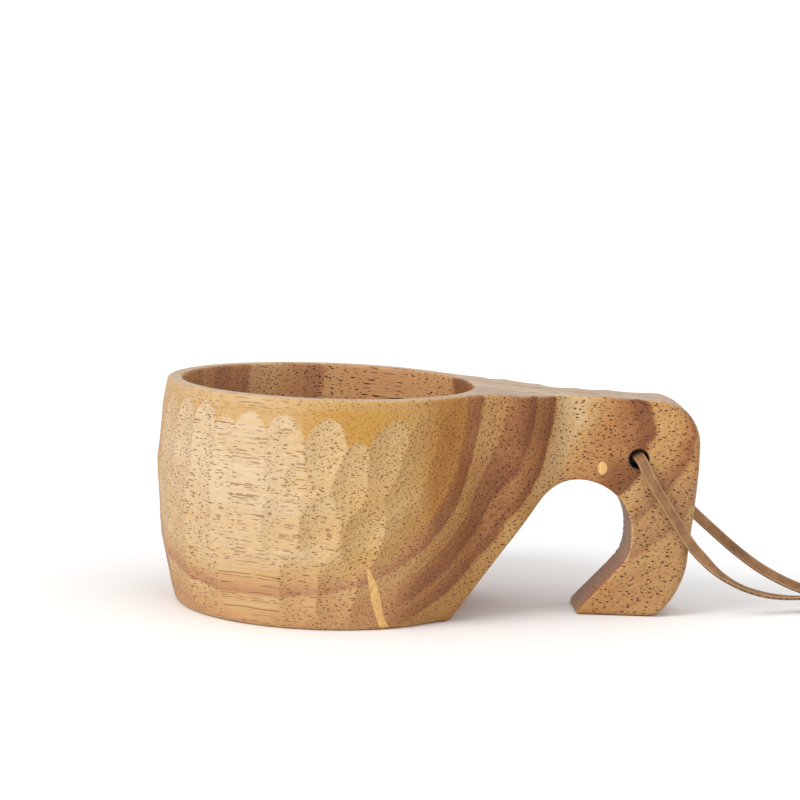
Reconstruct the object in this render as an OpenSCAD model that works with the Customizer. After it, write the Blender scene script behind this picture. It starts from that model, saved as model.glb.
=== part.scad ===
// Carved wooden drinking cup with a hooked handle and a leather hanging lace.
// The bowl's axis is the Z axis, the table is Z = 0 and the handle points along +X.

/* [Bowl] */
// Largest diameter of the bowl
bowl_d = 90; // [88:1:92]
// Height of the rim above the table
cup_h = 60; // [58:0.5:62]
// Height of the bowl's widest ring
belly_z = 36; // [32:1:40]
// Outer diameter at the rim
rim_d = 85.4; // [85:0.2:87]
// Diameter across the mouth
mouth_d = 77.6; // [76:0.2:79]
// Diameter of the flat foot
foot_d = 77.8; // [76:0.2:80]
// Thickness of the bowl's floor
floor_t = 7; // [5:0.5:10]
// Radius between the cavity's wall and its floor
cavity_corner_r = 18; // [12:1:20]

/* [Handle] */
// Length from the bowl's far side to the end of the handle
overall_len = 145; // [143:1:148]
// Thickness of the handle
handle_t = 19; // [18:0.5:21]
// Half width of the neck where it leaves the bowl
neck_half_w = 18.8; // [17:0.2:20]
// Height of the handle's top at its outer corner
handle_end_z = 58.7; // [57.5:0.1:59.5]
// Radius of the finger hole's arch
arch_r = 14.1; // [13:0.1:14.5]
// Diameter of the hole for the lace
lace_hole_d = 5; // [4.6:0.1:6]

/* [Fillers] */
// Diameter of the small dowel in the handle
dowel_d = 3; // [2:0.2:4]
// Depth of the small dowel
dowel_len = 6; // [3:0.5:8]
// Width of the sliver let into the bowl's side
sliver_w = 2.4; // [1.8:0.1:3]
// Depth of the sliver
sliver_depth = 2.5; // [1.5:0.1:3]

/* [Lace] */
// Diameter of the lace's round stand-in
lace_d = 2.6; // [2:0.1:2.8]
// Diameter of the knot
knot_d = 8.4; // [8:0.1:9]
// Length of the knot
knot_len = 9; // [8:0.5:10]

/* [Hidden] */

belly_r = bowl_d / 2;
rim_r = rim_d / 2;
foot_r = foot_d / 2;
mouth_r = mouth_d / 2;
end_x = overall_len - belly_r;

// The two radii of the bowl's outer curve, below and above its widest ring
lower_r = (pow(belly_z, 2) + pow(belly_r - foot_r, 2)) / (2 * (belly_r - foot_r));
upper_r = (pow(cup_h - belly_z, 2) + pow(belly_r - rim_r, 2)) / (2 * (belly_r - rim_r));

// Small radii on the rim and the foot
rim_round = 0.8;
foot_round = 1;

// Finger hole: the arch's centre, and the point where the neck's slanted underside meets the foot
arch_c = [end_x - 31.9, 22.5];
underside_x = 33.5;
// The hook's inner curve below the arch, and where its straight toe starts
hook_in_r = 10.8;
hook_in_c = arch_c + [arch_r - hook_in_r, -2.2];
toe_angle = 48;
// The hook's outer curve and the handle's top outer corner
hook_out_r = 21.2;
hook_out_c = [end_x - 23, 17];
corner_r = 12.2;
corner_c = [end_x - corner_r, handle_end_z - corner_r];

// The lace's hole
hole_x = 83.4;
hole_z = 42.7;

// The small dowel
dowel_x = 73.7;
dowel_z = 40;

// The sliver: direction of its middle round the bowl, its height and its lean
sliver_dir = -70.5;
sliver_len = 19;
sliver_mid_z = 8.4;
sliver_lean = 25;

// Where the strands enter the knot
knot_x = 136.5;
knot_y = 4;
knot_z = 4.3;

// Points along an arc in a plane
function arc(c, r, a0, a1, n) = [for (i = [0:n]) let (a = a0 + (a1 - a0) * i / n) c + r * [cos(a), sin(a)]];

// Outer radius of the bowl at height z
function bowl_r(z) = z < belly_z
    ? belly_r - lower_r + sqrt(pow(lower_r, 2) - pow(belly_z - z, 2))
    : belly_r - upper_r + sqrt(pow(upper_r, 2) - pow(z - belly_z, 2));

// Half width of the neck and handle at distance x from the bowl's axis
shoulder_x = 48;
slender_x = 66;
handle_half = handle_t / 2;
function neck_half(x) = x < shoulder_x
    ? neck_half_w + 0.2 * (shoulder_x - x) + 0.02 * pow(shoulder_x - x, 2)
    : x < slender_x
    ? handle_half + (neck_half_w - handle_half) * (1 + cos(180 * (x - shoulder_x) / (slender_x - shoulder_x))) / 2
    : handle_half;

module bowl_solid() {
    step = 4;
    side = [for (z = [step:step:cup_h - step]) [bowl_r(z), z]];
    rotate_extrude($fn = 96)
        polygon(concat(
            [[0, 0]],
            arc([bowl_r(foot_round) - foot_round, foot_round], foot_round, -90, 0, 3),
            side,
            arc([bowl_r(cup_h - rim_round) - rim_round, cup_h - rim_round], rim_round, 0, 90, 3),
            [[0, cup_h]]));
}

// The cavity: straight below the lip, then a round corner onto a flat floor
module bowl_cavity() {
    corner_c = [mouth_r - cavity_corner_r, floor_t + cavity_corner_r];
    rotate_extrude($fn = 96)
        polygon(concat(
            [[0, floor_t]],
            arc(corner_c, cavity_corner_r, -90, 0, 10),
            [[mouth_r, cup_h + 1], [0, cup_h + 1]]));
}

// Outline of the neck and handle seen from above
module plan_outline() {
    xs = [for (x = [30:2:slender_x]) x];
    near = [for (x = xs) [x, -neck_half(x)]];
    far = [for (i = [len(xs) - 1:-1:0]) [xs[i], neck_half(xs[i])]];
    polygon(concat([[0, -30]], near, [[end_x + 5, -handle_half], [end_x + 5, handle_half]], far, [[0, 30]]));
}

// Outline of the whole cup seen from the side: the slanted underside, the arch, the hook and the top
module side_outline() {
    to_arch = arch_c - [underside_x, 0];
    slant = atan2(to_arch[1], to_arch[0]) + asin(arch_r / norm(to_arch));
    toe_start = hook_in_c + hook_in_r * [cos(toe_angle - 90), sin(toe_angle - 90)];
    toe = [toe_start[0] - toe_start[1] / tan(toe_angle), 0];
    heel_angle = asin(-hook_out_c[1] / hook_out_r);
    polygon(concat(
        [[-belly_r - 5, 0], [underside_x, 0]],
        arc(arch_c, arch_r, slant + 90, 0, 18),
        arc(hook_in_c, hook_in_r, 0, toe_angle - 90, 5),
        [toe],
        arc(hook_out_c, hook_out_r, heel_angle, 0, 8),
        [[end_x - 0.7, 29], [end_x, 40]],
        arc(corner_c, corner_r, 0, 90, 8),
        [[bowl_r(cup_h), cup_h], [-belly_r - 5, cup_h]]));
}

module sliver_shape() {
    rotate([0, 0, sliver_dir])
        translate([foot_r - 8, 0, sliver_mid_z])
        rotate([sliver_lean, 0, 0])
        rotate([90, 0, 90])
        linear_extrude(16)
        polygon([[-0.3 * sliver_w, sliver_len / 2], [0.3 * sliver_w, sliver_len / 2],
            [sliver_w / 2, 0], [sliver_w / 2, -sliver_len / 2],
            [-sliver_w / 2, -sliver_len / 2], [-sliver_w / 2, 0]]);
}

// The skin of the bowl that the sliver is let into
module sliver_skin() {
    difference() {
        bowl_solid();
        translate([0, 0, -1]) cylinder(h = cup_h + 2, r = foot_r - sliver_depth, $fn = 96);
    }
}

module lace_hole() {
    translate([hole_x, handle_t, hole_z]) rotate([90, 0, 0]) cylinder(h = 2 * handle_t, d = lace_hole_d, $fn = 48);
}

module dowel(extra) {
    translate([dowel_x, -handle_half + dowel_len, dowel_z])
        rotate([90, 0, 0])
        cylinder(h = dowel_len + extra, d = dowel_d, $fn = 32);
}

// Bowl, neck and hooked handle, carved from one block
module cup_body() {
    color("burlywood")
        difference() {
            intersection() {
                union() {
                    bowl_solid();
                    linear_extrude(cup_h) plan_outline();
                }
                rotate([90, 0, 0]) translate([0, 0, -60]) linear_extrude(120) side_outline();
            }
            bowl_cavity();
            lace_hole();
            dowel(1);
            intersection() {
                sliver_shape();
                sliver_skin();
            }
        }
}

// Small dowel that plugs a flaw in the handle's face
module handle_filler() {
    color("khaki") dowel(0);
}

// Pale sliver glued into a crack low on the bowl
module foot_filler() {
    color("khaki")
        intersection() {
            sliver_shape();
            sliver_skin();
        }
}

// Route of each strand: from the middle of the hole, round its lip and down to the knot
FRONT_ROUTE = [
    [83.4, 0, 43.2], [83.4, -4, 43.3], [83.5, -7.5, 43.3], [84.2, -10.5, 42.2], [85.3, -12.2, 39.9],
    [87.1, -12.8, 36.6], [90, -12.6, 32.2], [93.8, -12, 26.6], [98, -11, 20.6], [102, -9.5, 16.3],
    [107, -7.4, 11.8], [113.4, -4.9, 8], [120, -2.2, 5.7], [126, 0.2, 4.6], [132, 2, 4.3], [138, 3, 4.3]];
BACK_ROUTE = [
    [83.4, 0, 43.2], [83.4, 4, 43.3], [83.6, 7.5, 43.3], [84.6, 10.5, 42.4], [86.6, 12.4, 40.6],
    [90.4, 13.2, 37], [96.6, 13.2, 31.2], [103.2, 13, 25.2], [108.5, 12.6, 20.4], [113.8, 11.7, 15.9],
    [120, 10.2, 11.3], [126, 8.3, 8.2], [132, 6.5, 6], [138, 5, 4.8]];
// The two short tails beyond the knot
TAIL_ROUTES = [
    [[143, 2.8, 4], [147, 2, 3], [152, 0.6, 1.8], [157, -1.2, 1.4], [162, -3.6, 1.4]],
    [[143, 5.2, 4], [147, 6.2, 2.8], [152, 7.4, 1.6], [157, 8.4, 1.4], [161, 9, 1.4]]];

function unit(v) = v / norm(v);
// Direction of a route at its point i
function heading(route, i) = unit(route[min(i + 1, len(route) - 1)] - route[max(i - 1, 0)]);
// A ring of n points round a route's point i
function ring(route, i, d, n) = let (
    t = heading(route, i),
    a = unit(cross(t, [1, 1, 1])),
    b = cross(t, a)
) [for (k = [0:n - 1]) route[i] + d / 2 * (cos(360 * k / n) * a + sin(360 * k / n) * b)];

// A tube of diameter d with n sides along a route
module tube(route, d, n = 8) {
    m = len(route);
    points = [for (i = [0:m - 1]) each ring(route, i, d, n)];
    sides = [for (i = [0:m - 2], k = [0:n - 1])
        [i * n + k, (i + 1) * n + k, (i + 1) * n + (k + 1) % n, i * n + (k + 1) % n]];
    start = [for (k = [0:n - 1]) k];
    end = [for (k = [n - 1:-1:0]) (m - 1) * n + k];
    polyhedron(points, concat([start], sides, [end]), convexity = 6);
}

module lace_front() {
    color("sienna") tube(FRONT_ROUTE, lace_d);
}

module lace_back() {
    color("sienna") tube(BACK_ROUTE, lace_d);
}

// Overhand knot that holds both strands, with the two cut ends behind it
module lace_knot() {
    color("sienna") {
        translate([knot_x, knot_y, knot_z])
            rotate([0, 90, 0])
            rotate_extrude($fn = 32)
            polygon([[0, 0], [knot_d * 0.38, 0], [knot_d / 2, knot_len * 0.3],
                [knot_d / 2, knot_len * 0.7], [knot_d * 0.38, knot_len], [0, knot_len]]);
        for (route = TAIL_ROUTES) tube(route, lace_d);
    }
}

cup_body();
handle_filler();
foot_filler();
lace_front();
lace_back();
lace_knot();
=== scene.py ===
import math
import random

import bmesh
import bpy
import numpy as np
from mathutils import Matrix, Quaternion, Vector
from mathutils.bvhtree import BVHTree


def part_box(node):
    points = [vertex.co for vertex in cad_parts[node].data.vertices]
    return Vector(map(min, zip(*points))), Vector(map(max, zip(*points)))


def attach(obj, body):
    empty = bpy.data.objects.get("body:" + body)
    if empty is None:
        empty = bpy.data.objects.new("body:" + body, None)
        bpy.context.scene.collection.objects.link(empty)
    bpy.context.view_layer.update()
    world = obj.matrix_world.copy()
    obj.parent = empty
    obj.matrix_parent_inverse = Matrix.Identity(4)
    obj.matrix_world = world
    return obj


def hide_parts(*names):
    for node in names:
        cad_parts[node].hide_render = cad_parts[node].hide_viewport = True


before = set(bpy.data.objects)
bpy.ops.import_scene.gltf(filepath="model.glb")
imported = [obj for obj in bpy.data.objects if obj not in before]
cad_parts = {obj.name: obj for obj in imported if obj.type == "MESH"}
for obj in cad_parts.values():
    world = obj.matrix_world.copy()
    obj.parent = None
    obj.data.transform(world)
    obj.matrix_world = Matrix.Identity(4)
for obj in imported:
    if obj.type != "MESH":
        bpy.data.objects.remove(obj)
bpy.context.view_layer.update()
scene = bpy.context.scene
MM = 0.001

# ---------------------------------------------------------------- sizes, in millimetres

cup_low, cup_high = [Vector(corner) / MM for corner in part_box("cup_body")]
BELLY_R = -cup_low.x
END_X = cup_high.x
CUP_H = cup_high.z
BELLY_Z = 36
RIM_R = 42.7
FOOT_R = 38.9
MOUTH_R = 38.8
FLOOR_T = 7
CAVITY_CORNER = 18
HANDLE_HALF = 9.5
NECK_HALF = 18.8
SHOULDER_X = 48
SLENDER_X = 66
FLARE_REACH = 18
HANDLE_END_Z = 58.7
UNDERSIDE_X = 33.5
ARCH_R = 14.1
ARCH_X, ARCH_Z = END_X - 31.9, 22.5
HOOK_IN_R = 10.8
HOOK_IN_X, HOOK_IN_Z = ARCH_X + ARCH_R - HOOK_IN_R, ARCH_Z - 2.2
TOE_ANGLE = 48
HOOK_OUT_R = 21.2
HOOK_OUT_X, HOOK_OUT_Z = END_X - 23, 17
CORNER_R = 12.2
HOLE_X, HOLE_Z, HOLE_R = 83.4, 42.7, 2.5
PLUG_X, PLUG_Z = 73.7, 40
SLIVER_TURN, SLIVER_LEAN = math.radians(-70.5), math.radians(25)
SLIVER_LENGTH, SLIVER_MID_Z = 19, 8.4

# The two radii of the bowl's outer curve, below and above its widest ring
LOWER_R = (BELLY_Z ** 2 + (BELLY_R - FOOT_R) ** 2) / (2 * (BELLY_R - FOOT_R))
UPPER_R = ((CUP_H - BELLY_Z) ** 2 + (BELLY_R - RIM_R) ** 2) / (2 * (BELLY_R - RIM_R))

# Turn of the fibres seen from above, and the pith that the growth rings go round: how far it lies
# across the fibres from the bowl's axis, and its height
FIBRE_TURN = math.radians(27)
PITH_ACROSS, PITH_Z = -50, 62

# The lace: width, thickness and the route of each strand, from inside the hole to the knot
LACE_WIDTH, LACE_THICK = 3.0, 1.1
FRONT_ROUTE = [
    (83.4, 0, 42.7), (83.4, -4, 43), (83.5, -7.5, 43.2), (84.2, -10.5, 42.2), (85.3, -12.2, 39.9),
    (87.1, -12.8, 36.6), (90, -12.6, 32.2), (93.8, -12, 26.6), (98, -11, 20.6), (102, -9.5, 16.3),
    (107, -7.4, 11.8), (113.4, -4.9, 8), (120, -2.2, 5.7), (126, 0.2, 4.6), (132, 2, 4.3), (138, 3, 4.3)]
BACK_ROUTE = [
    (83.4, 0, 42.7), (83.4, 4, 43), (83.6, 7.5, 43.2), (84.6, 10.5, 42.4), (86.6, 12.4, 40.6),
    (90.4, 13.2, 36.6), (96.6, 13.2, 30.3), (103.2, 13, 24.4), (108.5, 12.6, 19.9), (113.8, 11.7, 15.6),
    (120, 10.2, 11.3), (126, 8.3, 8.2), (132, 6.5, 6), (138, 5, 4.8)]
TAIL_ROUTES = [
    [(143, 2.8, 4), (147, 2, 3), (152, 0.6, 1.8), (157, -1.2, 1.4), (162, -3.6, 1.4)],
    [(143, 5.2, 4), (147, 6.2, 2.8), (152, 7.4, 1.6), (157, 8.4, 1.4), (161, 9, 1.4)]]
KNOT_X, KNOT_Y, KNOT_Z, KNOT_LENGTH = 136.5, 4, 4.3, 9


# ---------------------------------------------------------------- camera

def finished(name, work, smooth=True):
    """An object at the origin from a bmesh that is in millimetres."""
    bmesh.ops.scale(work, vec=(MM, MM, MM), verts=work.verts)
    data = bpy.data.meshes.new(name)
    work.to_mesh(data)
    work.free()
    if smooth:
        data.shade_smooth()
    piece = bpy.data.objects.new(name, data)
    scene.collection.objects.link(piece)
    return piece


def make_camera():
    """A long lens a little above the rim, turned slightly about its own axis."""
    data = bpy.data.cameras.new("camera")
    data.lens = 117.8
    data.sensor_width = 36
    data.clip_start = 0.01
    camera = bpy.data.objects.new("camera", data)
    scene.collection.objects.link(camera)
    ahead = Vector((0.0404, 0.9913, -0.1249))
    roll = Quaternion((0, 0, 1), math.radians(2.22))
    camera.location = Vector((-8.9, -696.3, 143.0)) * MM
    camera.rotation_mode = "QUATERNION"
    camera.rotation_quaternion = ahead.to_track_quat("-Z", "Y") @ roll
    scene.camera = camera


# ---------------------------------------------------------------- shader arithmetic

def make_node(tree, kind, settings=None, sockets=None):
    """A node whose settings are made first, and its sockets then given values or links."""
    node = tree.nodes.new(kind)
    for name, value in (settings or {}).items():
        if name == "stops":
            elements = node.color_ramp.elements
            while len(elements) < len(value):
                elements.new(1)
            for element, (place, colour) in zip(elements, value):
                element.position = place
                element.color = colour
        else:
            setattr(node, name, value)
    for key, value in (sockets or {}).items():
        if isinstance(value, Wire):
            tree.links.new(value.socket, node.inputs[key])
        else:
            node.inputs[key].default_value = value
    return node


class Wire:
    """A shader socket that plain arithmetic works on."""

    def __init__(self, tree, socket):
        self.tree = tree
        self.socket = socket

    def node(self, kind, settings=None, sockets=None, out=0):
        return Wire(self.tree, make_node(self.tree, kind, settings, sockets).outputs[out])

    def math(self, operation, *values):
        return self.node("ShaderNodeMath", {"operation": operation}, dict(enumerate(values)))

    def __add__(self, other):
        return self.math("ADD", self, other)

    def __radd__(self, other):
        return self.math("ADD", other, self)

    def __sub__(self, other):
        return self.math("SUBTRACT", self, other)

    def __rsub__(self, other):
        return self.math("SUBTRACT", other, self)

    def __mul__(self, other):
        return self.math("MULTIPLY", self, other)

    def __rmul__(self, other):
        return self.math("MULTIPLY", other, self)

    def __truediv__(self, other):
        return self.math("DIVIDE", self, other)

    def __pow__(self, other):
        return self.math("POWER", self, other)

    def __abs__(self):
        return self.math("ABSOLUTE", self)

    def most(self, other):
        return self.math("MAXIMUM", self, other)

    def rise(self, low, high):
        """0 up to low, 1 from high on and a smooth step between; low may be the greater."""
        if low > high:
            return 1 - self.rise(high, low)
        settings = {"interpolation_type": "SMOOTHSTEP"}
        return self.node("ShaderNodeMapRange", settings, {"Value": self, "From Min": low, "From Max": high})

    def toward(self, other, amount):
        """This number mixed with another one."""
        return self + (other - self) * amount

    def tint(self, colour, amount, blend="MIX"):
        """This colour mixed with, or multiplied by, another one."""
        settings = {"data_type": "RGBA", "blend_type": blend}
        return self.node("ShaderNodeMix", settings, {0: amount, 6: self, 7: colour}, 2)

    def ramp(self, stops):
        return self.node("ShaderNodeValToRGB", {"stops": stops}, {"Fac": self})

    def noise(self, detail=2.0, roughness=0.5):
        """Noise at this place, with features about one unit across."""
        return self.node("ShaderNodeTexNoise", None, {
            "Vector": self, "Scale": 1.0, "Detail": detail, "Roughness": roughness})

    def flat_cells(self):
        """Distance to the nearest of scattered points on the X and Y plane, one to a unit cell."""
        settings = {"voronoi_dimensions": "2D"}
        return self.node("ShaderNodeTexVoronoi", settings, {"Vector": self, "Scale": 1.0})

    def bump(self, distance=0.001):
        return self.node("ShaderNodeBump", None, {"Height": self, "Distance": distance})


def linear(red, green, blue):
    """A display colour, 0 to 255, as the linear colour that a shader takes."""
    def one(value):
        value /= 255
        return value / 12.92 if value <= 0.04045 else ((value + 0.055) / 1.055) ** 2.4
    return (one(red), one(green), one(blue), 1)


def new_material(name):
    """A material, its shader and its Object place in millimetres."""
    material = bpy.data.materials.new(name)
    material.use_nodes = True
    tree = material.node_tree
    where = Wire(tree, tree.nodes.new("ShaderNodeTexCoord").outputs["Object"])
    place = where.node("ShaderNodeVectorMath", {"operation": "SCALE"}, {"Vector": where, "Scale": 1000})
    return material, tree.nodes["Principled BSDF"], place


def surface(shader, varying, fixed):
    """Links what varies over a surface, and sets what is the same all over it."""
    for name, wire in varying.items():
        shader.id_data.links.new(wire.socket, shader.inputs[name])
    for name, value in fixed.items():
        shader.inputs[name].default_value = value


def plain_material(name, colour, roughness):
    material, shader, _ = new_material(name)
    surface(shader, {}, {"Base Color": (*colour, 1), "Roughness": roughness})
    return material


def split(place):
    """The three parts of a place."""
    parts = make_node(place.tree, "ShaderNodeSeparateXYZ", None, {0: place})
    return [Wire(place.tree, socket) for socket in parts.outputs]


def joined(x, y, z):
    return x.node("ShaderNodeCombineXYZ", None, {0: x, 1: y, 2: z})


def attribute(place, name):
    return place.node("ShaderNodeAttribute", {"attribute_name": name}, None, 2)


# ---------------------------------------------------------------- studio

def sun(name, turn, height, spread, strength, colour):
    """A soft distant light: its direction from the front and its height above the floor, in degrees."""
    data = bpy.data.lights.new(name, "SUN")
    data.energy = strength
    data.angle = math.radians(spread)
    data.color = colour
    light = bpy.data.objects.new(name, data)
    scene.collection.objects.link(light)
    light.rotation_euler = (math.radians(90 - height), 0, math.radians(turn))


def make_studio():
    """A white room, paler at eye level, a big soft light on the left, a softer one on the right, a pale floor."""
    scene.view_settings.view_transform = "Standard"
    world = bpy.data.worlds.new("studio")
    world.use_nodes = True
    scene.world = world
    tree = world.node_tree
    direction = Wire(tree, tree.nodes.new("ShaderNodeTexCoord").outputs["Generated"])
    strength = 0.62 + split(direction)[2].rise(0.25, 0.1) * 0.45
    tree.links.new(strength.socket, tree.nodes["Background"].inputs["Strength"])
    tree.nodes["Background"].inputs["Color"].default_value = (1, 1, 1, 1)
    sun("key", -54, 36, 26, 1.6, (1, 0.985, 0.96))
    sun("fill", 42, 54, 110, 0.95, (1, 1, 1))
    sheet = bmesh.new()
    bmesh.ops.create_grid(sheet, x_segments=1, y_segments=1, size=90000)
    floor = finished("floor", sheet, smooth=False)
    floor.data.materials.append(plain_material("pale_floor", (0.95, 0.95, 0.95), 0.9))


# ---------------------------------------------------------------- materials

# Tone of the wood against the distance from the pith in mm, 0 palest and 1 darkest: on the side
# towards the handle, and on the far side
HANDLE_SIDE_RINGS = [
    (0, 0.20), (20, 0.18), (34, 0.4), (41, 0.5), (43.7, 0.42), (44.6, 0.68), (48.9, 0.82),
    (49.7, 0.38), (54.0, 0.52), (55.0, 0.74), (60.6, 0.9), (61.5, 0.62), (66.9, 0.88),
    (67.7, 0.14), (72.4, 0.2), (76.5, 0.66), (79.8, 1), (80.6, 0.36), (84.2, 0.5),
    (86.9, 0.86), (87.8, 0.52), (91.4, 0.74), (92.4, 0.46), (95, 0.58), (100, 0.6)]
FAR_SIDE_RINGS = [
    (0, 0.08), (20, 0.06), (30, 0.12), (36, 0.08), (41, 0.14), (44.5, 0.24), (46.5, 0.44),
    (49.5, 0.74), (50.3, 0.26), (54.5, 0.38), (58, 0.54), (60, 0.46), (100, 0.5)]
RING_REACH = 100
# where the rings stray from true circles
HOLE_BEND = (78, 38)
TOP_BEND = (85, 47)
NECK_BEND = (50, 29)
DARK_HEART = (78.3, 38)


def ring_tone(distance, rings):
    return (distance / RING_REACH).ramp([(reach / RING_REACH, (tone, tone, tone, 1)) for reach, tone in rings])


def near(x, z, centre, reach):
    """1 at a place seen from the side and 0 from a distance on."""
    return (((x - centre[0]) ** 2 + (z - centre[1]) ** 2) ** 0.5).rise(reach, 2)


def pores(across, along, height, pitch, size, length, share):
    """Open pores: thin tubes along the fibres, broken into lengths. 1 in a pore and 0 in the wood."""
    wander = joined(across / 7, along / 6, height / 7).noise(0.0) * (0.9 / pitch)
    distance = joined(across / pitch + wander, height / pitch - wander, 0).flat_cells()
    broken = joined(across / pitch, along / length, height / pitch).noise(0.0)
    return distance.rise(size, size * 0.55) * broken.rise(0.56 - share * 0.2, 0.6 - share * 0.2)


def carved_wood():
    """Oiled open-pored wood with growth rings: pale where it is cut, golden where the skin is left."""
    material, shader, place = new_material("carved_wood")
    x, y, z = split(place)
    across = x * math.sin(FIBRE_TURN) + y * math.cos(FIBRE_TURN)
    along = x * math.cos(FIBRE_TURN) - y * math.sin(FIBRE_TURN)
    carved = attribute(place, "carved")
    inside = attribute(place, "inside")
    upward = attribute(place, "upward")

    # growth rings, wavering a little along the fibres
    slow = joined(across / 24, along / 60, z / 24).noise()
    quick = joined(across / 4, along / 26, z / 4).noise(3.0)
    reach = ((across - PITH_ACROSS) ** 2 + (z - PITH_Z) ** 2) ** 0.5
    distance = reach - (-18 - across).most(0) * 0.2 + (slow - 0.5) * 1.8 + (quick - 0.5) * 1.6
    # the rings stray outwards by the lace's hole, above it and in the cavity, and inwards under the neck
    distance = distance - near(x, z, HOLE_BEND, 12) * 3.2 - near(x, z, TOP_BEND, 12) * 1.9
    distance = distance + near(x, z, NECK_BEND, 14) * 1.6
    distance = distance - inside * x.rise(39, 28) * (2 + (reach - 68).most(0) * 0.13)
    handle_side = across.rise(-30, -15)
    tone = ring_tone(distance, FAR_SIDE_RINGS).toward(ring_tone(distance, HANDLE_SIDE_RINGS), handle_side)
    streaks = joined(across / 0.6, along / 14, z / 0.6).noise(3.0, 0.6)
    patches = joined(across / 8, along / 30, z / 8).noise()
    lines = joined(distance / 0.9, along / 40, z / 50).noise(2.0, 0.6)
    dark_end = inside * x.rise(28, 33) * distance.rise(80.2, 79.6)
    tone = tone + dark_end * 0.45
    tone = tone + (streaks - 0.5) * 0.3 + (patches - 0.5) * 0.3 + (lines - 0.5) * 0.3
    colour = tone.ramp([
        (0.0, linear(208, 184, 149)), (0.2, linear(200, 166, 118)), (0.4, linear(190, 146, 90)),
        (0.6, linear(177, 126, 75)), (0.8, linear(151, 97, 55)), (1.0, linear(120, 71, 36))])
    # pinker on the far side, yellower next to the dark heartwood
    far_side = 1 - handle_side
    colour = colour.tint(linear(214, 178, 148), far_side * tone.rise(0.2, 0.5) * 0.2)
    beside = (distance.rise(26, 36) * handle_side).most(x.rise(-20, 15) * 0.6) * distance.rise(47, 43)
    colour = colour.tint(linear(252, 236, 184), beside, "MULTIPLY")
    # the pale band deepens towards the foot
    low_band = z.rise(40, 26) * distance.rise(66.6, 67.8) * (1 - inside) * x.rise(62, 54)
    colour = colour.tint(linear(233, 214, 177), low_band, "MULTIPLY")
    end_grain = attribute(place, "end_grain")
    colour = colour.tint(linear(222, 208, 184), end_grain * end_grain, "MULTIPLY")

    # the golden skin left between the rim and the gouge cuts
    skin = (1 - carved) * (1 - inside) * z.rise(40, 46) * x.rise(30, 12) * (1 - z.rise(56, 59) * 0.4)
    colour = colour.tint(linear(185, 137, 60), skin * (0.6 + x.rise(-14, 6) * 0.4))
    # the greyer cavity, and a painted sheen: the upward-facing top made paler and greyer, standing in for the
    # white room reflected at a grazing angle
    colour = colour.tint(linear(208, 156, 114), inside * 0.36)
    colour = colour.tint(linear(222, 204, 170), dark_end, "MULTIPLY")
    colour = colour.tint(linear(194, 173, 152), upward * 0.74)
    # the hook's wood is a little greener
    colour = colour.tint(linear(168, 165, 126), x.rise(74, 84) * z.rise(46, 32) * 0.13)
    # wood beside the hole reddened by the heat, and painted shade: darker where the handle and hook face towards
    # the bowl or down
    colour = colour.tint(linear(116, 62, 20), near(x, z, DARK_HEART, 8) * distance.rise(80.7, 79.9) * 0.7)
    colour = colour.tint(linear(234, 212, 180), attribute(place, "rasped"), "MULTIPLY")
    # the hook's inner edge is worn pale, and painted paler still as a highlight where it faces the key light
    colour = colour.tint(linear(236, 194, 144), attribute(place, "worn") * streaks.rise(0.3, 0.55) * 0.7)

    # pores, crowded in some places, and paler where they are cut along their length
    crowd = joined(across / 6, along / 30, z / 6).noise(1.0).rise(0.35, 0.62)
    coarse = pores(across, along, z, 1.3, 0.175, 3.2, 0.7)
    fine = pores(across, along, z + 17.3, 0.8, 0.17, 3, 0.8)
    faint = pores(across, along, z + 41.9, 0.5, 0.2, 2.4, 0.66)
    cut_across = end_grain.rise(0.05, 0.4).most(inside)
    coarse = coarse * (0.7 + x.rise(15, 60).most(inside) * 0.3)
    pits = coarse.most(fine * (0.68 + crowd * 0.32)) * (1 - skin * 0.5)
    pit_colour = cut_across.ramp([(0.0, linear(142, 84, 48)), (1.0, linear(74, 37, 17))])
    pit_colour = pit_colour.tint(linear(134, 74, 38), x.rise(25, -15) * (1 - inside) * 0.8)
    colour = colour.tint(pit_colour, pits * (0.72 + cut_across * 0.28))
    colour = colour.tint(linear(130, 80, 44), faint * 0.42)

    # the lace's hole is burnt through
    bore = ((x - HOLE_X) ** 2 + (z - HOLE_Z) ** 2) ** 0.5
    char = bore.rise(HOLE_R + 0.5, HOLE_R + 0.1)
    colour = colour.tint(linear(22, 15, 12), char)

    grain = joined(across / 0.3, along / 4, z / 0.3).noise(2.0, 0.6)
    height = grain * 0.04 + streaks * 0.04 - pits * 0.16 - faint * 0.05
    roughness = 0.42 + grain * 0.12 + pits * 0.2 + char * 0.3
    surface(shader, {"Base Color": colour, "Roughness": roughness, "Normal": height.bump()}, {
        "Specular IOR Level": 0.35})
    return material


def filler_wood():
    """The pale close-grained wood of the two fillers."""
    material, shader, place = new_material("filler_wood")
    x, y, z = split(place)
    fibres = joined(x / 0.5, y / 0.5, z / 7).noise(3.0, 0.6)
    colour = fibres.ramp([
        (0.3, linear(190, 140, 74)), (0.5, linear(214, 168, 98)), (0.75, linear(228, 188, 120))])
    roughness = 0.42 + fibres * 0.16
    surface(shader, {"Base Color": colour, "Roughness": roughness, "Normal": (fibres * 0.05).bump()}, {
        "Coat Weight": 0.1, "Coat Roughness": 0.35})
    return material


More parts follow.
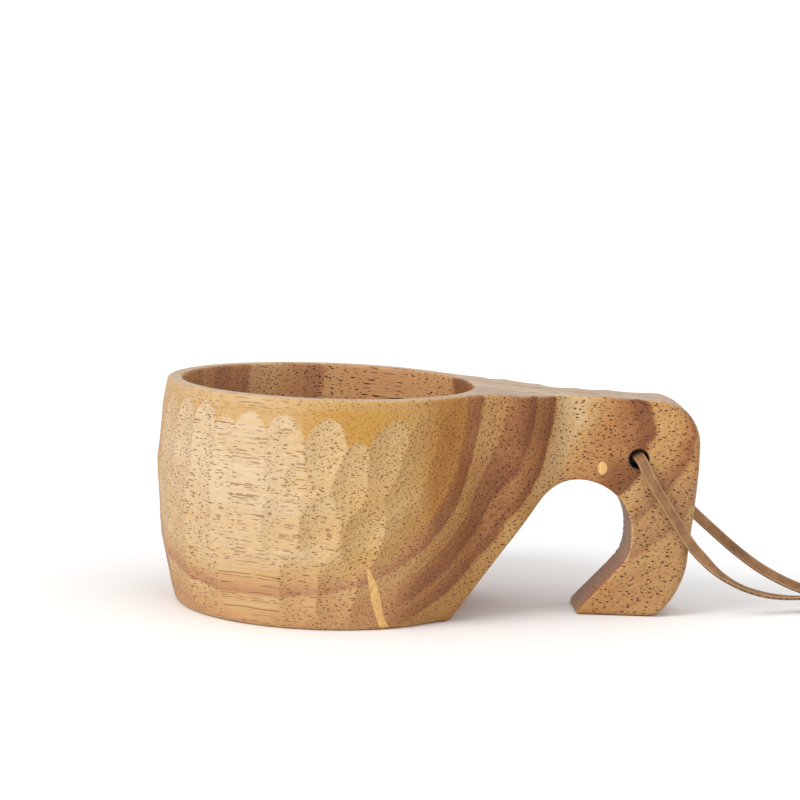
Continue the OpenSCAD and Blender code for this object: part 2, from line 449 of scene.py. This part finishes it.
def lace_leather():
    """Waxed leather lace: smooth brown faces, rubbed paler edges with dark flecks."""
    material, shader, place = new_material("lace_leather")
    x, y, z = split(place)
    run = attribute(place, "run")
    edge = attribute(place, "edge")
    blotch = joined(x / 5, y / 5, z / 5).noise(3.0, 0.6)
    nap = joined(x / 0.25, y / 0.25, z / 0.25).noise(2.0, 0.7)
    flecks = joined(run / 0.8, edge, edge).noise(3.0)
    cut = edge.rise(0.82, 0.96)
    colour = (blotch + (nap - 0.5) * 0.5).ramp([
        (0.25, linear(108, 74, 44)), (0.5, linear(135, 96, 60)), (0.75, linear(160, 120, 78))])
    colour = colour.tint(linear(206, 164, 120), edge.rise(0.4, 0.55) * 0.4)
    colour = colour.tint(linear(66, 50, 38), cut * (0.4 + flecks.rise(0.46, 0.56) * 0.5))
    roughness = 0.66 + nap * 0.2
    surface(shader, {"Base Color": colour, "Roughness": roughness, "Normal": (nap * 0.05).bump()}, {})
    return material


# ---------------------------------------------------------------- lace

def smooth_step(low, high, value):
    t = np.clip((value - low) / (high - low), 0, 1)
    return t * t * (3 - 2 * t)


def smooth_curve(route, steps=5):
    """Points along one smooth curve through a route's points."""
    points = [Vector(point) for point in route]
    points = [2 * points[0] - points[1], *points, 2 * points[-1] - points[-2]]
    made = []
    for a, b, c, d in zip(points, points[1:], points[2:], points[3:]):
        for i in range(steps):
            t = i / steps
            made.append(0.5 * (2 * b + (c - a) * t + (2 * a - 5 * b + 4 * c - d) * t ** 2
                               + (3 * b - a - 3 * c + d) * t ** 3))
    made.append(points[-2])
    return made


def blend_directions(stops, count):
    """The direction of a lace's width at each of its points, from a few that are spread along it."""
    made = []
    for i in range(count):
        share = i / (count - 1)
        before = max((s for s in stops if s[0] <= share), key=lambda s: s[0])
        after = min((s for s in stops if s[0] >= share), key=lambda s: s[0])
        gap = after[0] - before[0]
        t = (share - before[0]) / gap if gap else 0
        made.append(Vector(before[1]).lerp(Vector(after[1]), t * t * (3 - 2 * t)))
    return made


def lace(work, line, widths, width=LACE_WIDTH, thick=LACE_THICK, folded=0.0):
    """Adds a flat lace along a line; widths gives the direction of its width at each point, and
    folded how far it is crumpled thick where it starts.

    A rounded oblong is drawn at the first point and extruded from each point to the next.
    """
    run = work.verts.layers.float.get("run") or work.verts.layers.float.new("run")
    edge = work.verts.layers.float.get("edge") or work.verts.layers.float.new("edge")
    places = []
    travelled = 0
    for i, point in enumerate(line):
        travelled += (point - line[max(i - 1, 0)]).length
        swell = 1 + folded * (1 - smooth_step(5.5, 10, travelled))
        ahead = (line[min(i + 1, len(line) - 1)] - line[max(i - 1, 0)]).normalized()
        side = (widths[i] - ahead * widths[i].dot(ahead)).normalized() * (1 + (swell - 1) * 0.12)
        place = Matrix((side, ahead.cross(side).normalized() * swell, ahead)).transposed().to_4x4()
        place.translation = point
        places.append(place)
    ring = bmesh.ops.create_circle(work, cap_ends=True, segments=14, radius=1)["verts"]
    for vert in ring:
        vert[edge] = abs(vert.co.x) ** 2
        # an even curve that stays nearly flat on the two broad faces
        vert.co.x = math.copysign(abs(vert.co.x) ** 0.75, vert.co.x) * width / 2
        vert.co.y = math.copysign(abs(vert.co.y) ** 0.5, vert.co.y) * thick / 2
    face = ring[0].link_faces[0]
    bmesh.ops.transform(work, matrix=places[0], verts=ring)
    travelled = 0
    for i in range(1, len(line)):
        grown = bmesh.ops.extrude_face_region(work, geom=[face, *face.edges])["geom"]
        ring = [part for part in grown if isinstance(part, bmesh.types.BMVert)]
        face = next(part for part in grown if isinstance(part, bmesh.types.BMFace))
        bmesh.ops.transform(work, matrix=places[i] @ places[i - 1].inverted(), verts=ring)
        travelled += (line[i] - line[i - 1]).length
        for vert in ring:
            vert[run] = travelled
    bmesh.ops.recalc_face_normals(work, faces=work.faces)


def make_strand(name, route, stops):
    """One strand of the lace, with the line that it follows."""
    line = smooth_curve(route)
    work = bmesh.new()
    lace(work, line, blend_directions(stops, len(line)), folded=1.5)
    return finished(name, work), [list(point * MM) for point in line]


def knot_turn(start, turns, middle_x, slant):
    """A line that winds round the knot's axis and dips under itself at both ends."""
    count = round(36 * turns)
    line = []
    for i in range(count + 1):
        share = i / count
        angle = start + math.tau * turns * share
        dip = math.sin(math.pi * min(share, 1 - share) / 0.18 / 2) if min(share, 1 - share) < 0.18 else 1
        radius = 1.5 + 1.05 * dip + 1.0 * share * dip
        x = middle_x + slant * math.cos(angle) + (share - 0.5) * 2.4
        line.append(Vector((x, KNOT_Y + radius * math.cos(angle), KNOT_Z + radius * math.sin(angle))))
    return line


def make_knot():
    """Both strands wound round themselves, with two cut tails."""
    work = bmesh.new()
    for middle_x, start in ((KNOT_X + 2.9, 0.4), (KNOT_X + 6.0, 0.9)):
        line = knot_turn(start, 1.45, middle_x, 0.5)
        widths = [Vector((1, 0, 0.15))] * len(line)
        lace(work, line, widths, 2.9, 1.0)
    for side, tail in zip((-1, 1), TAIL_ROUTES):
        entry = [(KNOT_X - 0.5, KNOT_Y + side * 0.9, KNOT_Z + 0.2), (KNOT_X + 4, KNOT_Y + side * 0.7, KNOT_Z)]
        line = smooth_curve(entry + tail, 4)
        widths = blend_directions([(0, (0, 0.2, 1)), (0.4, (0, 0.5, 0.8)), (0.75, (0, 1, 0.1)), (1, (0, 1, 0))], len(line))
        lace(work, line, widths, 2.9, 1.0)
    return finished("knot", work)


# ---------------------------------------------------------------- the carved cup

def arc(x, z, radius, start, end, count):
    """Points along an arc, its angles in degrees."""
    angles = [math.radians(start + (end - start) * i / count) for i in range(count + 1)]
    return [(x + radius * math.cos(a), z + radius * math.sin(a)) for a in angles]


def side_outline():
    """The cup's outline seen from the side, run on below the table so that the foot is cut later."""
    below = -3
    reach = math.hypot(ARCH_X - UNDERSIDE_X, ARCH_Z)
    slant = math.atan2(ARCH_Z, ARCH_X - UNDERSIDE_X) + math.asin(ARCH_R / reach)
    hook = arc(HOOK_IN_X, HOOK_IN_Z, HOOK_IN_R, 0, TOE_ANGLE - 90, 8)
    toe_x = hook[-1][0] - (hook[-1][1] - below) / math.tan(math.radians(TOE_ANGLE))
    heel = math.degrees(math.asin((below - HOOK_OUT_Z) / HOOK_OUT_R))
    return [
        (-BELLY_R - 5, below), (UNDERSIDE_X + below / math.tan(slant), below),
        *arc(ARCH_X, ARCH_Z, ARCH_R, math.degrees(slant) + 90, 0, 28),
        *hook[1:], (toe_x, below),
        *arc(HOOK_OUT_X, HOOK_OUT_Z, HOOK_OUT_R, heel, 0, 14),
        (END_X - 0.7, 29), (END_X, 40),
        *arc(END_X - CORNER_R, HANDLE_END_Z - CORNER_R, CORNER_R, 0, 90, 14),
        (RIM_R, CUP_H), (-BELLY_R - 5, CUP_H)]


def outline_distance(x, z, outline):
    """Distance to a closed outline, less than 0 inside it."""
    nearest = np.full(x.shape, 1e9)
    within = np.zeros(x.shape, bool)
    for (ax, az), (bx, bz) in zip(outline, outline[1:] + outline[:1]):
        ex, ez = bx - ax, bz - az
        t = np.clip(((x - ax) * ex + (z - az) * ez) / (ex * ex + ez * ez), 0, 1)
        nearest = np.minimum(nearest, (x - ax - ex * t) ** 2 + (z - az - ez * t) ** 2)
        crosses = (az > z) != (bz > z)
        if ez:
            within ^= crosses & (x < ax + ex * (z - az) / ez)
    return np.where(within, -1, 1) * np.sqrt(nearest)


def both(a, b, soft):
    """The part that two shapes share, with its edge rounded."""
    overlap = np.maximum(soft - np.abs(a - b), 0)
    return np.maximum(a, b) + overlap ** 2 / (4 * soft)


def either(a, b, soft):
    """Two shapes in one, with the corner between them filled."""
    return -both(-a, -b, soft)


def wall_radius(z):
    """Outer radius of the bowl at height z."""
    lower = BELLY_R - LOWER_R + np.sqrt(np.maximum(LOWER_R ** 2 - (BELLY_Z - z) ** 2, 0))
    upper = BELLY_R - UPPER_R + np.sqrt(np.maximum(UPPER_R ** 2 - (z - BELLY_Z) ** 2, 0))
    return np.where(z < BELLY_Z, lower, upper)


def flare_reach(x):
    """How far a place lies in front of the shoulder, levelling off inside the bowl."""
    return either(np.maximum(SHOULDER_X - x, 0), np.full(x.shape, FLARE_REACH), 6)


def neck_half(x, z):
    """Half width of the neck and handle at distance x from the bowl's axis."""
    near = flare_reach(x)
    flare = 0.2 * near + 0.02 * near ** 2
    # low down, where the bowl is narrower, the neck leaves it narrower too
    widest = np.sqrt(wall_radius(z) ** 2 - (SHOULDER_X - FLARE_REACH) ** 2) - NECK_HALF
    flare = flare * np.minimum(widest / (0.2 * FLARE_REACH + 0.02 * FLARE_REACH ** 2), 1)
    share = np.clip((x - SHOULDER_X) / (SLENDER_X - SHOULDER_X), 0, 1)
    slender = HANDLE_HALF + (NECK_HALF - HANDLE_HALF) * (1 + np.cos(np.pi * share)) / 2
    return np.where(x < SHOULDER_X, NECK_HALF + flare, slender)


def gouge_cuts():
    """The bowl's gouge cuts: direction from the front in degrees, height, half width, half height,
    depth and lean in degrees. Those on the front are placed, the others are spread by chance."""
    cuts = [
        (-68, 45.5, 5.5, 12, 0.62, 0), (-57, 46, 5.2, 11.5, 0.75, 0), (-46, 46, 5.4, 11.6, 0.85, 0),
        (-36.5, 44, 5, 10.6, 0.75, 0), (-27, 45.4, 5.6, 11, 0.85, 0), (-14.5, 44.6, 6.2, 11.4, 0.95, -3),
        (-1, 46.2, 5.6, 9.4, 0.9, 10), (8.5, 40.5, 5, 9.2, 0.9, 12), (20, 45, 5.8, 11, 0.9, 24),
        (31, 43, 6.2, 15, 0.85, 27), (43, 43, 6.8, 17, 0.75, 27), (57, 44, 7, 15, 0.45, 27),
        (-11, 40.4, 3.7, 5.6, 1.3, 0), (-74, 30, 6, 12, 0.6, 0), (-61, 30, 6.2, 14, 0.75, 0),
        (-47.5, 27, 6.2, 12, 0.85, 0), (-36, 27, 5.4, 11.5, 0.75, 0), (-26.5, 28.5, 5.2, 10, 0.75, 0),
        (-15.5, 27.2, 5.4, 8.6, 1.2, 3), (-2, 27, 5.3, 8.6, 1.2, 4), (13, 24.8, 5.7, 9, 1.2, 14),
        (27, 24, 6.5, 13, 0.85, 25), (-64, 11.5, 6.6, 11, 0.6, 0), (-48, 11, 6.4, 11, 0.75, 0),
        (-27, 10.4, 9.6, 10.4, 0.95, 0), (-8.5, 10.2, 5.8, 10, 1, 0), (4.5, 10, 5.7, 9.8, 0.95, 4),
        (19, 8.5, 6.2, 9.5, 0.7, 14)]
    chance = random.Random(5)
    for height, pitch, first in ((46.3, 11.5, 118), (28, 12.5, 124), (10.8, 13.5, 120)):
        turn = first
        while turn < 282:
            lean = -24 * max(0, (158 - turn) / 40)
            cuts.append((turn, height + chance.uniform(-1.2, 1.2), chance.uniform(5.4, 6.8),
                         chance.uniform(10.4, 12.2), chance.uniform(0.7, 0.95), lean + chance.uniform(-3, 3)))
            turn += pitch * chance.uniform(0.88, 1.12)
    return cuts


CUTS = gouge_cuts()


def cut_depth(x, y, z):
    """Depth of the gouge cuts at a place on the bowl."""
    turn = np.degrees(np.arctan2(x, -y))
    deepest = np.zeros(x.shape)
    for centre, height, width, length, depth, lean in CUTS:
        sideways = ((turn - centre + 180) % 360 - 180) * math.radians(BELLY_R)
        upward = z - height
        lean = math.radians(lean)
        s = (sideways * math.cos(lean) - upward * math.sin(lean)) / width
        t = (upward * math.cos(lean) + sideways * math.sin(lean)) / length
        deepest = np.maximum(deepest, depth * (1 - s * s - t * t))
    on_bowl = 1 - smooth_step(33, 47, x)
    return deepest * on_bowl * smooth_step(0, 3, z)


WAVES = []
wave_chance = random.Random(11)
for _ in range(9):
    heading = Vector([wave_chance.gauss(0, 1) for _ in range(3)]).normalized()
    WAVES.append((heading * math.tau / wave_chance.uniform(11, 26), wave_chance.uniform(0, math.tau)))


def hand_waver(x, y, z):
    """The slight waver of a surface that was worked by hand, about -1 to 1."""
    total = 0
    for wave, phase in WAVES:
        total = total + np.sin(wave.x * x + wave.y * y + wave.z * z + phase)
    return total / math.sqrt(2 * len(WAVES))


OUTLINE = side_outline()
# Crosswise cuts on the handle's top, between these distances from the bowl's axis
TOP_RIDGES = (43, 51.5, 60, 70.5, 79, 94)


def top_depth(x, y):
    x = x + 1.6 * np.sin(y / 3.5) + 0.25 * y
    depth = np.zeros(x.shape)
    for start, end in zip(TOP_RIDGES, TOP_RIDGES[1:]):
        middle, half = (start + end) / 2, (end - start) / 2
        depth = np.maximum(depth, 0.3 * (1 - ((x - middle) / half) ** 2))
    return depth


def cup_distance(points):
    """Distance in mm from the carved cup's surface, less than 0 in the wood."""
    x, y, z = points.T
    from_axis = np.hypot(x, y)
    bowl = from_axis - wall_radius(z)
    slope = np.where(x < SHOULDER_X, 0.2 + 0.04 * flare_reach(x), 0.3)
    neck = np.maximum((np.abs(y) - neck_half(x, z)) / np.sqrt(1 + slope ** 2), -x)
    block = either(bowl, neck, 3.0) + cut_depth(x, y, z)
    block = block + 0.07 * hand_waver(x, y, z) * smooth_step(30, 50, x)
    side = outline_distance(x, z, OUTLINE) + top_depth(x, y) * smooth_step(54, 58, z) * smooth_step(42, 45, x)
    side = side + 0.08 * hand_waver(z, x, y) * smooth_step(40, 60, x)
    # edges: crisp along the rim, softer on the handle's back and round the hook's end
    soft = 0.9 + 0.9 * smooth_step(-4, 6, y) * smooth_step(38, 60, x)
    soft = soft + 2.2 * smooth_step(88, 97, x)
    # the knife's small notches along the hook's inner edge
    in_hook = smooth_step(76, 80, x) * smooth_step(93, 90, x) * smooth_step(8, 12, z) * smooth_step(33, 27, z)
    soft = soft + 0.8 * in_hook * np.maximum(np.sin(4.1 * z + 1.3 * np.sin(z)), -0.6)
    cup = both(block, side, soft)
    cup = both(cup, -z, 1.3 + 0.8 * smooth_step(60, 70, x))
    corner = CAVITY_CORNER
    inner = np.hypot(np.maximum(from_axis - (MOUTH_R - corner), 0), np.maximum(FLOOR_T + corner - z, 0)) - corner
    cavity = np.where(z > FLOOR_T + corner, from_axis - MOUTH_R, inner)
    cavity = np.where(from_axis < MOUTH_R - corner, np.maximum(cavity, FLOOR_T - z), cavity)
    cup = both(cup, -cavity, 0.8)
    bore = HOLE_R - np.hypot(x - HOLE_X, z - HOLE_Z)
    return both(cup, bore, 0.6)


def slopes(points, here):
    """How the distance changes along X, Y and Z from what it is here."""
    step = 0.04
    return np.stack([(cup_distance(points + shift) - here) / step for shift in np.eye(3) * step], 1)


def settle(points, proud=0.0, rounds=3):
    """Moves points onto the carved surface, or to a small distance outside it."""
    for _ in range(rounds):
        here = cup_distance(points)
        gradient = slopes(points, here)
        steepness = np.maximum((gradient ** 2).sum(1), 0.25)
        move = np.clip((here - proud) / steepness, -0.9, 0.9)
        points = points - gradient * move[:, None]
    return points


def block_without_pockets():
    """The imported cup's mesh with the pockets of its two fillers closed."""
    work = bmesh.new()
    work.from_mesh(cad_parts["cup_body"].data)
    bmesh.ops.remove_doubles(work, verts=work.verts, dist=1e-6)
    for name in ("handle_filler", "foot_filler"):
        filler = bmesh.new()
        filler.from_mesh(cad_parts[name].data)
        tree = BVHTree.FromBMesh(filler)
        near = [face for face in work.faces if tree.find_nearest(face.calc_center_median())[3] < 0.04 * MM]
        bmesh.ops.delete(work, geom=near, context="FACES")
        filler.free()
    bmesh.ops.holes_fill(work, edges=[edge for edge in work.edges if edge.is_boundary], sides=0)
    bmesh.ops.recalc_face_normals(work, faces=work.faces)
    data = bpy.data.meshes.new("block")
    work.to_mesh(data)
    work.free()
    return data


def with_modifier(piece, kind, **settings):
    """Gives a piece a modifier and applies it at once."""
    modifier = piece.modifiers.new(kind.lower(), kind)
    for name, value in settings.items():
        setattr(modifier, name, value)
    result = bpy.data.meshes.new_from_object(piece.evaluated_get(bpy.context.evaluated_depsgraph_get()))
    piece.modifiers.clear()
    piece.data = result


def mesh_points(data):
    """The vertices of a mesh as an array in mm."""
    flat = np.empty(len(data.vertices) * 3)
    data.vertices.foreach_get("co", flat)
    return flat.reshape(-1, 3) / MM


def set_mesh_points(data, points):
    data.vertices.foreach_set("co", (points * MM).astype(np.float32).ravel())
    data.update()


def add_attribute(data, name, values):
    layer = data.attributes.new(name, "FLOAT", "POINT")
    layer.data.foreach_set("value", np.asarray(values, np.float32))


def make_cup():
    """Bowl, neck and hook in one piece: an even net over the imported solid, drawn onto the carved shape."""
    cup = bpy.data.objects.new("carved_cup", block_without_pockets())
    scene.collection.objects.link(cup)
    with_modifier(cup, "REMESH", mode="VOXEL", voxel_size=0.55 * MM, use_smooth_shade=True)
    set_mesh_points(cup.data, settle(mesh_points(cup.data)))
    triangles = sum(len(face.vertices) - 2 for face in cup.data.polygons)
    with_modifier(cup, "DECIMATE", ratio=min(1, 185000 / triangles))
    points = mesh_points(cup.data)
    x, y, z = points.T
    facing = slopes(points, cup_distance(points))
    from_axis = np.hypot(x, y)
    on_wall = smooth_step(MOUTH_R + 0.4, MOUTH_R + 1.2, from_axis)
    depth = cut_depth(x, y, z)
    add_attribute(cup.data, "carved", smooth_step(0.0, 0.06, depth) * on_wall)
    add_attribute(cup.data, "inside", (from_axis < MOUTH_R + 0.3) & (z > FLOOR_T - 1))
    across_fibres = facing[:, 0] * math.cos(FIBRE_TURN) - facing[:, 1] * math.sin(FIBRE_TURN)
    add_attribute(cup.data, "end_grain", np.abs(across_fibres))
    # painted shade on the faces of the handle and hook that look towards the bowl or down
    add_attribute(cup.data, "rasped", smooth_step(0.3, 0.8, np.maximum(-facing[:, 0], -facing[:, 2])) * smooth_step(48, 54, x))
    # the hook's inner edge facing the key light and the camera: worn pale, with a painted highlight
    hook_edge = np.minimum(-facing[:, 0], -facing[:, 1])
    in_hook = smooth_step(76, 80, x) * smooth_step(33, 27, z)
    add_attribute(cup.data, "worn", smooth_step(0.1, 0.45, hook_edge) * in_hook)
    # painted sheen on the faces that look up near the top, standing in for a grazing reflection of the white room
    add_attribute(cup.data, "upward", smooth_step(0.5, 0.9, facing[:, 2]) * smooth_step(55.5, 57.5, z))
    cup.data.shade_smooth()
    return cup


# ---------------------------------------------------------------- fillers

def make_plug():
    """The oval end of the dowel, flush with the handle's face."""
    work = bmesh.new()
    ring = bmesh.ops.create_circle(work, cap_ends=True, segments=32, radius=1)["verts"]
    face = ring[0].link_faces[0]
    bmesh.ops.scale(work, vec=(1.3, 1.75, 1), verts=ring)
    grown = bmesh.ops.extrude_face_region(work, geom=[face, *face.edges])["geom"]
    bmesh.ops.translate(work, vec=(0, 0, 5.5), verts=[g for g in grown if isinstance(g, bmesh.types.BMVert)])
    rim = [edge for edge in face.edges]
    bmesh.ops.bevel(work, geom=rim, offset=0.12, segments=2, profile=0.5, affect="EDGES", material=-1)
    upright = Matrix.Rotation(math.radians(-90), 4, "X")
    bmesh.ops.transform(work, matrix=Matrix.Translation((PLUG_X, -HANDLE_HALF - 0.07, PLUG_Z)) @ upright, verts=work.verts)
    bmesh.ops.recalc_face_normals(work, faces=work.faces)
    return finished("plug", work, smooth=False)


def make_sliver():
    """The thin wedge let into the bowl's side, dressed flush with the carved surface."""
    work = bmesh.new()
    bmesh.ops.create_grid(work, x_segments=6, y_segments=40, size=1)
    across = Vector((-math.sin(SLIVER_TURN), math.cos(SLIVER_TURN), 0))
    outward = Vector((math.cos(SLIVER_TURN), math.sin(SLIVER_TURN), 0))
    lift, lean = math.cos(SLIVER_LEAN), math.sin(SLIVER_LEAN)
    for vert in work.verts:
        side, up = vert.co.x, vert.co.y
        # a rounded head, widest above the middle, slightly waisted below it and cut off at the foot
        half = 1.12 * (1 - 1.35 * max(0, up - 0.25) ** 2) * (1 + 0.1 * math.cos(up * 5.5))
        half *= math.sqrt(1 - max(0, (up - 0.9) / 0.1) ** 2 * 0.9)
        s = side * half + 0.45 * math.sin(up * 2.6)
        foot = (0.35 - SLIVER_MID_Z - s * lean) / lift
        t = foot + (up + 1) / 2 * (SLIVER_LENGTH / 2 - foot)
        height = SLIVER_MID_Z + t * lift + s * lean
        vert.co = outward * (wall_radius(height) + 0.5) + across * (s * lift - t * lean) + Vector((0, 0, height))
    points = settle(np.array([vert.co for vert in work.verts]), 0.06, 5)
    for vert, point in zip(work.verts, points):
        vert.co = point
    grown = bmesh.ops.extrude_face_region(work, geom=work.faces[:] + work.edges[:])["geom"]
    verts = [part for part in grown if isinstance(part, bmesh.types.BMVert)]
    bmesh.ops.translate(work, vec=outward * -2.2, verts=verts)
    bmesh.ops.recalc_face_normals(work, faces=work.faces)
    return finished("sliver", work)


# ---------------------------------------------------------------- assembly

make_camera()

leather = lace_leather()
knot = make_knot()
# which way the lace's broad side turns along each strand
front_stops = [
    (0, (0.73, 0, 0.68)), (0.12, (0.86, 0, 0.5)), (0.5, (0.86, 0.15, 0.5)), (0.76, (0.1, 0.95, 0.15)),
    (1, (0, 1, -0.1))]
back_stops = [(0, (0.73, 0, 0.68)), (0.5, (0.55, 0.35, 0.75)), (1, (0.1, 0.7, 0.7))]
front, front_line = make_strand("strand_front", FRONT_ROUTE, front_stops)
back, back_line = make_strand("strand_back", BACK_ROUTE, back_stops)

make_studio()
cup = make_cup()
plug = make_plug()
sliver = make_sliver()
cup.data.materials.append(carved_wood())
filler = filler_wood()
for piece in (plug, sliver):
    piece.data.materials.append(filler)
for piece in (front, back, knot):
    piece.data.materials.append(leather)

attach(cup, "cup")
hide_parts("cup_body")
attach(plug, "cup")
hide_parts("handle_filler")
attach(sliver, "cup")
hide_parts("foot_filler")
for piece, node in ((front, "lace_front"), (back, "lace_back"), (knot, "lace_knot")):
    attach(piece, "lace")
    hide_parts(node)
